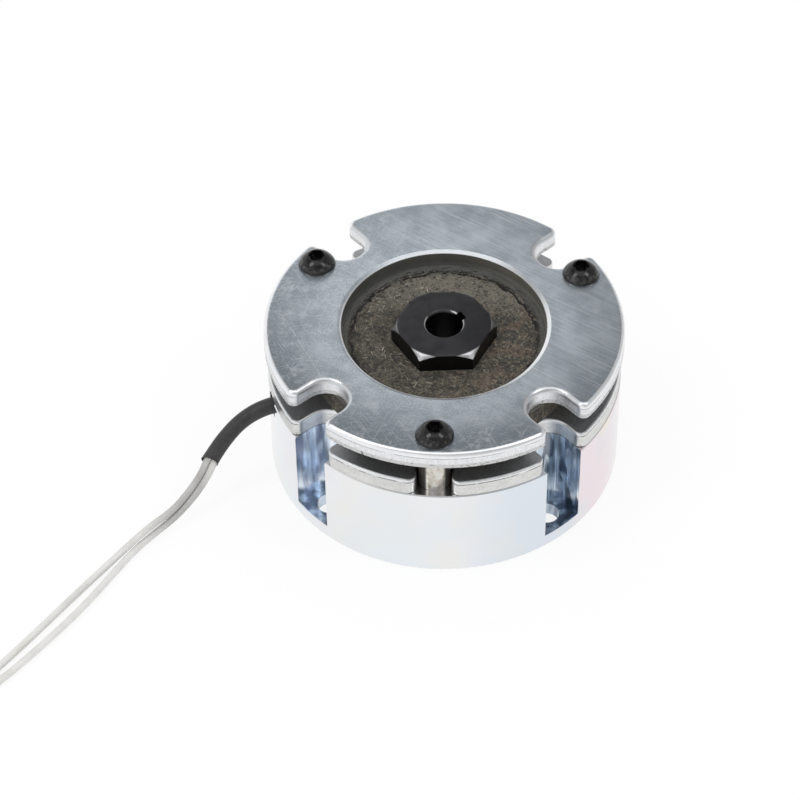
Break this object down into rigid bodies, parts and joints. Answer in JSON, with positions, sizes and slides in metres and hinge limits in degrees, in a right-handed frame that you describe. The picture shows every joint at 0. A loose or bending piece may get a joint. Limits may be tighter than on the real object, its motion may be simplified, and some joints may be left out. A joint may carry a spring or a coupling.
{
  "type": "spring-applied electromagnetic brake",
  "caption": "Disc-shaped electromagnetic shaft brake: zinc-plated magnet housing, armature, friction rotor on a black hexagon hub, slotted steel side plate and sleeved leads.",
  "frame": {"origin": "centre of the mounting face of the magnet housing, on the shaft axis", "axes": "+Z along the shaft, from the mounting face to the side plate; -Y through the front side-plate screw; the leads leave towards -X"},
  "size_m": [0.1962, 0.1635, 0.0503],
  "materials": {
    "zinc_plate": "bright zinc plate with a faint pink and yellow sheen",
    "ground_steel": "ground and lightly scratched steel",
    "collar_steel": "turned steel",
    "spring_steel": "spring steel, lightly oiled",
    "black_oxide": "satin black oxide",
    "friction_core": "moulded friction compound with pale fibres",
    "friction_ring": "worn-in friction ring, grey",
    "copper_wire": "enamelled copper",
    "bobbin_nylon": "natural nylon",
    "potting_resin": "black casting resin",
    "black_rubber": "matte black sleeve",
    "lead_insulation": "off-white insulation",
    "tinned_copper": "tinned strands"
  },
  "bodies": {
    "stator": {"stator_housing": "zinc_plate", "coil_bobbin": "bobbin_nylon", "coil_winding": "copper_wire", "coil_resin": "potting_resin", "lead_grommet": "black_rubber", "side_plate": "ground_steel", "lead_sleeve": "black_rubber", "lead_wire_a": "lead_insulation", "lead_wire_b": "lead_insulation", "lead_coil": "lead_insulation", "lead_tie": "bobbin_nylon", "lead_tip_a": "tinned_copper", "lead_tip_b": "tinned_copper", "spacer_collar_1": "collar_steel", "spacer_collar_2": "collar_steel", "spacer_collar_3": "collar_steel", "plate_screw_1": "black_oxide", "plate_screw_2": "black_oxide", "plate_screw_3": "black_oxide", "torque_spring_1": "spring_steel", "torque_spring_2": "spring_steel", "torque_spring_3": "spring_steel", "torque_spring_4": "spring_steel", "torque_spring_5": "spring_steel", "torque_spring_6": "spring_steel"},
    "armature": {"armature_plate": "ground_steel"},
    "hub": {"hex_hub": "black_oxide"},
    "rotor": {"rotor_core": "friction_core", "rotor_lining_lower": "friction_ring", "rotor_lining_upper": "friction_ring"}
  },
  "joints": [
    {"name": "armature_slide", "type": "slide", "parent": "stator", "child": "armature", "axis": [0, 0, 1], "range_m": [-0.0002, 0], "stiffness_N_per_m": 3000, "springref_m": 0.005, "deforming": ["torque_spring_1", "torque_spring_2", "torque_spring_3", "torque_spring_4", "torque_spring_5", "torque_spring_6"]},
    {"name": "hub_spin", "type": "hinge", "parent": "stator", "child": "hub", "pos_m": [0, 0, 0.03], "axis": [0, 0, 1], "continuous": true},
    {"name": "rotor_float", "type": "slide", "parent": "hub", "child": "rotor", "axis": [0, 0, 1], "range_m": [-0.0001, 0]}
  ],
  "couplings": [
    {"joint": "rotor_float", "follows": "armature_slide", "ratio": 0.5}
  ]
}
